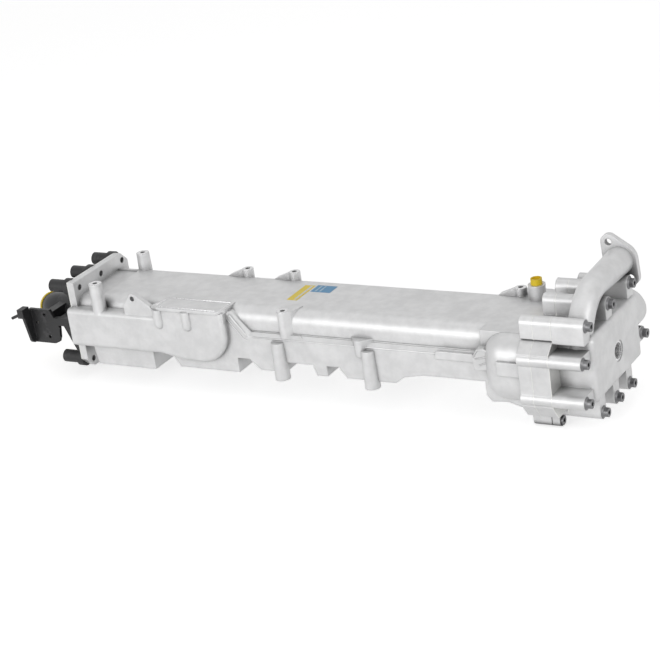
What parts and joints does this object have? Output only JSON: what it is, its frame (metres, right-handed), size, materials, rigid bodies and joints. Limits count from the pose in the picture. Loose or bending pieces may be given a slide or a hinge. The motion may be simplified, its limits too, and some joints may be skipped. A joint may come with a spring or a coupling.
{
  "type": "exhaust gas recirculation cooler",
  "caption": "Long cast aluminium exhaust gas cooler with mounting posts, a bolted inlet cover carrying a bent gas pipe, and a black outlet casting.",
  "frame": {"origin": "on the axis of the threaded port in the inlet cover, where the port meets its seat on the cover's end face", "axes": "+X out of the port, along the cooler from outlet to inlet; +Z out of the top plate; +Y the way the gas pipe's flange faces"},
  "size_m": [0.9027, 0.203, 0.2062],
  "materials": {
    "blue_label": "printed film",
    "bolts": "dark zinc plating",
    "caps": "moulded",
    "cover": "sand cast, matt",
    "gaskets": "plain sheet",
    "housing": "sand cast, matt",
    "outlet": "black paint, satin",
    "seal": "matt",
    "spacer": "sand cast, machined faces",
    "tubes": "bright",
    "yellow_label": "printed film"
  },
  "bodies": {
    "root": {"baffle_1": "tubes", "baffle_2": "tubes", "baffle_3": "tubes", "baffle_4": "tubes", "blue_label": "blue_label", "coolant_plug": "caps", "cover_bolt_1": "bolts", "cover_bolt_2": "bolts", "cover_bolt_3": "bolts", "cover_bolt_4": "bolts", "cover_bolt_5": "bolts", "cover_bolt_6": "bolts", "cover_bolt_7": "bolts", "cover_bolt_8": "bolts", "cover_bolt_9": "bolts", "cover_gasket": "gaskets", "gas_tube_1": "tubes", "gas_tube_10": "tubes", "gas_tube_11": "tubes", "gas_tube_12": "tubes", "gas_tube_2": "tubes", "gas_tube_3": "tubes", "gas_tube_4": "tubes", "gas_tube_5": "tubes", "gas_tube_6": "tubes", "gas_tube_7": "tubes", "gas_tube_8": "tubes", "gas_tube_9": "tubes", "housing": "housing", "housing_gasket": "gaskets", "inlet_cover": "cover", "inlet_header": "tubes", "inlet_spacer": "spacer", "outlet_cap": "caps", "outlet_casting": "outlet", "outlet_gasket": "gaskets", "outlet_header": "tubes", "outlet_screw_1": "bolts", "outlet_screw_2": "bolts", "outlet_screw_3": "bolts", "outlet_screw_4": "bolts", "outlet_screw_5": "bolts", "outlet_screw_6": "bolts", "outlet_seal": "seal", "spacer_bolt": "bolts", "yellow_label": "yellow_label"}
  },
  "joints": []
}
